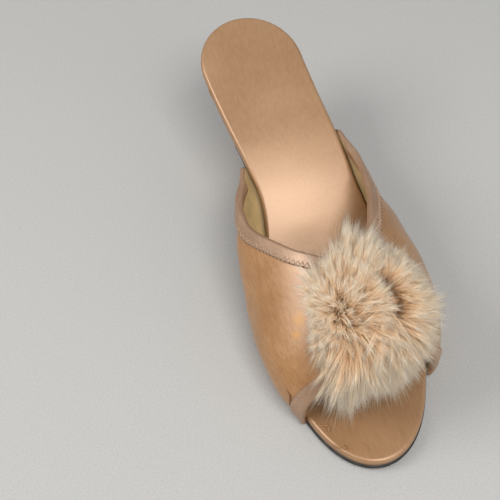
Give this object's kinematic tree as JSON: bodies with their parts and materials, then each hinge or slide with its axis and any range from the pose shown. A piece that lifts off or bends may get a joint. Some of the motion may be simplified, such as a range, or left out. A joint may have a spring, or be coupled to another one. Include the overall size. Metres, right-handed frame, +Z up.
{
  "type": "fluffy heeled mule",
  "caption": "Left foot slipper with a slanting covered heel, a thin sole, an open toe and back, and a satin vamp that carries a fur pompom.",
  "frame": {"origin": "on the floor, at the flat of the tread under the ball", "axes": "toe towards -Y, outer side of the left foot towards +X, up is +Z"},
  "size_m": [0.0889, 0.2259, 0.0874],
  "materials": {
    "outsole": "smooth dark sole leather",
    "insole": "tan satin over a padded board",
    "heel": "tan satin over a hard heel block",
    "heel_tip": "matt black top piece",
    "upper": "golden tan satin with a sheen",
    "topline_binding": "pinkish tan satin strip",
    "toe_binding": "pinkish tan satin strip",
    "pompom": "cream fur with tan depths"
  },
  "bodies": {
    "root": {"outsole": "outsole", "insole": "insole", "heel": "heel", "heel_tip": "heel_tip", "upper": "upper", "topline_binding": "topline_binding", "toe_binding": "toe_binding", "pompom": "pompom"}
  },
  "joints": []
}
